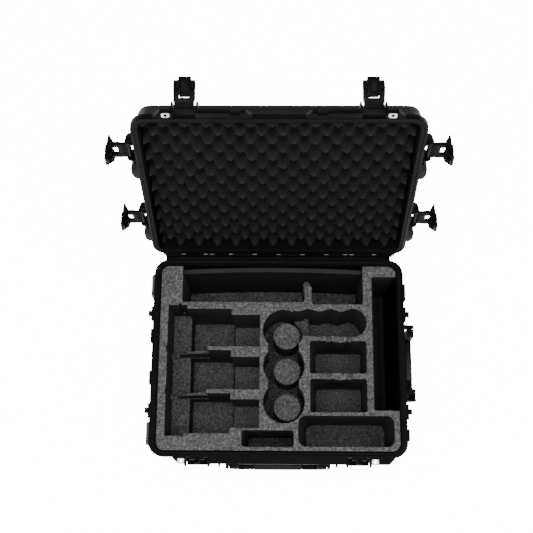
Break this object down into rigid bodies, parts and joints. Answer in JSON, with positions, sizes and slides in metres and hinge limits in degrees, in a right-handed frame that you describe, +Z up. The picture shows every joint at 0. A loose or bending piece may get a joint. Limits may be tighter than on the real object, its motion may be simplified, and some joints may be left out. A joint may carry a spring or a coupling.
{
  "type": "drone carrying case",
  "caption": "Wheeled hard case for a camera drone, standing open, with a hinged lid, double-throw latches, carry handles, a pull handle and custom-cut foam.",
  "frame": {"origin": "middle of the underside of the tub, on the plane the case rests on", "axes": "+X towards the end with the side carry handle, +Y towards the hinge, +Z up"},
  "size_m": [0.7192, 0.7434, 0.7613],
  "materials": {
    "shell_plastic": "fine moulded texture, satin",
    "latch_plastic": "satin",
    "handle_plastic": "satin",
    "grip_cover": "smooth soft cover",
    "base_foam": "mottled cut foam",
    "lid_foam": "open-cell foam",
    "gasket": "matt",
    "steel": "brushed stainless",
    "alloy": "anodised",
    "wheel_rubber": "matt"
  },
  "bodies": {
    "tub": {"tub_shell": "shell_plastic", "bottom_foam_pad": "base_foam", "tub_foam": "base_foam", "hinge_pin": "steel", "pressure_valve": "latch_plastic", "tub_padlock_plate_left": "steel", "tub_padlock_plate_right": "steel", "front_handle_pin_a": "steel", "front_handle_pin_b": "steel", "side_handle_pin_a": "steel", "side_handle_pin_b": "steel", "wheel_front_axle": "steel", "wheel_rear_axle": "steel"},
    "lid": {"lid_shell": "shell_plastic", "lid_gasket": "gasket", "lid_foam": "lid_foam", "lid_padlock_plate_left": "steel", "lid_padlock_plate_right": "steel", "latch_pivot_pin_front_left": "steel", "latch_pivot_pin_front_right": "steel", "latch_pivot_pin_left_front": "steel", "latch_pivot_pin_left_rear": "steel", "latch_pivot_pin_right_front": "steel", "latch_pivot_pin_right_rear": "steel"},
    "latch_arm_front_left": {"latch_arm_front_left": "latch_plastic", "latch_lever_pin_front_left": "steel"},
    "latch_lever_front_left": {"latch_lever_front_left": "latch_plastic"},
    "latch_arm_front_right": {"latch_arm_front_right": "latch_plastic", "latch_lever_pin_front_right": "steel"},
    "latch_lever_front_right": {"latch_lever_front_right": "latch_plastic"},
    "latch_arm_left_front": {"latch_arm_left_front": "latch_plastic", "latch_lever_pin_left_front": "steel"},
    "latch_lever_left_front": {"latch_lever_left_front": "latch_plastic"},
    "latch_arm_left_rear": {"latch_arm_left_rear": "latch_plastic", "latch_lever_pin_left_rear": "steel"},
    "latch_lever_left_rear": {"latch_lever_left_rear": "latch_plastic"},
    "latch_arm_right_front": {"latch_arm_right_front": "latch_plastic", "latch_lever_pin_right_front": "steel"},
    "latch_lever_right_front": {"latch_lever_right_front": "latch_plastic"},
    "latch_arm_right_rear": {"latch_arm_right_rear": "latch_plastic", "latch_lever_pin_right_rear": "steel"},
    "latch_lever_right_rear": {"latch_lever_right_rear": "latch_plastic"},
    "front_handle": {"front_handle": "handle_plastic", "front_handle_cover": "grip_cover"},
    "side_handle": {"side_handle": "handle_plastic", "side_handle_cover": "grip_cover"},
    "wheel_front": {"wheel_front": "wheel_rubber"},
    "wheel_rear": {"wheel_rear": "wheel_rubber"},
    "pull_handle": {"pull_handle_grip": "handle_plastic", "pull_handle_tube_front": "alloy", "pull_handle_tube_rear": "alloy"}
  },
  "joints": [
    {"name": "lid_hinge", "type": "hinge", "parent": "tub", "child": "lid", "pos_m": [0, 0.247, 0.283], "axis": [-1, 0, 0], "range_deg": [-109, 0]},
    {"name": "latch_arm_swing_front_left", "type": "hinge", "parent": "lid", "child": "latch_arm_front_left", "pos_m": [-0.1875, 0.41318, 0.74719], "axis": [-1, 0, 0], "range_deg": [-150, 0]},
    {"name": "latch_lever_throw_front_left", "type": "hinge", "parent": "latch_arm_front_left", "child": "latch_lever_front_left", "pos_m": [-0.1875, 0.45048, 0.75444], "axis": [-1, 0, 0], "range_deg": [0, 90]},
    {"name": "latch_arm_swing_front_right", "type": "hinge", "parent": "lid", "child": "latch_arm_front_right", "pos_m": [0.1875, 0.41318, 0.74719], "axis": [-1, 0, 0], "range_deg": [-150, 0]},
    {"name": "latch_lever_throw_front_right", "type": "hinge", "parent": "latch_arm_front_right", "child": "latch_lever_front_right", "pos_m": [0.1875, 0.45048, 0.75444], "axis": [-1, 0, 0], "range_deg": [0, 90]},
    {"name": "latch_arm_swing_left_front", "type": "hinge", "parent": "lid", "child": "latch_arm_left_front", "pos_m": [-0.311, 0.37476, 0.63562], "axis": [0, -0.3256, -0.9455], "range_deg": [-90, 0]},
    {"name": "latch_lever_throw_left_front", "type": "hinge", "parent": "latch_arm_left_front", "child": "latch_lever_left_front", "pos_m": [-0.349, 0.37476, 0.63562], "axis": [0, 0.3256, 0.9455], "range_deg": [-90, 0]},
    {"name": "latch_arm_swing_left_rear", "type": "hinge", "parent": "lid", "child": "latch_arm_left_rear", "pos_m": [-0.311, 0.29923, 0.41626], "axis": [0, -0.3256, -0.9455], "range_deg": [-90, 0]},
    {"name": "latch_lever_throw_left_rear", "type": "hinge", "parent": "latch_arm_left_rear", "child": "latch_lever_left_rear", "pos_m": [-0.349, 0.29923, 0.41626], "axis": [0, 0.3256, 0.9455], "range_deg": [-90, 0]},
    {"name": "latch_arm_swing_right_front", "type": "hinge", "parent": "lid", "child": "latch_arm_right_front", "pos_m": [0.311, 0.37476, 0.63562], "axis": [0, 0.3256, 0.9455], "range_deg": [-90, 0]},
    {"name": "latch_lever_throw_right_front", "type": "hinge", "parent": "latch_arm_right_front", "child": "latch_lever_right_front", "pos_m": [0.349, 0.37476, 0.63562], "axis": [0, -0.3256, -0.9455], "range_deg": [-90, 0]},
    {"name": "latch_arm_swing_right_rear", "type": "hinge", "parent": "lid", "child": "latch_arm_right_rear", "pos_m": [0.311, 0.29923, 0.41626], "axis": [0, 0.3256, 0.9455], "range_deg": [-90, 0]},
    {"name": "latch_lever_throw_right_rear", "type": "hinge", "parent": "latch_arm_right_rear", "child": "latch_lever_right_rear", "pos_m": [0.349, 0.29923, 0.41626], "axis": [0, -0.3256, -0.9455], "range_deg": [-90, 0]},
    {"name": "front_handle_lift", "type": "hinge", "parent": "tub", "child": "front_handle", "pos_m": [0, -0.2515, 0.248], "axis": [-1, 0, 0], "range_deg": [0, 95]},
    {"name": "side_handle_lift", "type": "hinge", "parent": "tub", "child": "side_handle", "pos_m": [0.3165, -0.012, 0.248], "axis": [0, -1, 0], "range_deg": [0, 95]},
    {"name": "wheel_front_spin", "type": "hinge", "parent": "tub", "child": "wheel_front", "pos_m": [-0.28, -0.179, 0.045], "axis": [0, 1, 0], "continuous": true},
    {"name": "wheel_rear_spin", "type": "hinge", "parent": "tub", "child": "wheel_rear", "pos_m": [-0.28, 0.179, 0.045], "axis": [0, 1, 0], "continuous": true},
    {"name": "pull_handle_slide", "type": "slide", "parent": "tub", "child": "pull_handle", "axis": [1, 0, 0], "range_m": [0, 0.35]}
  ]
}
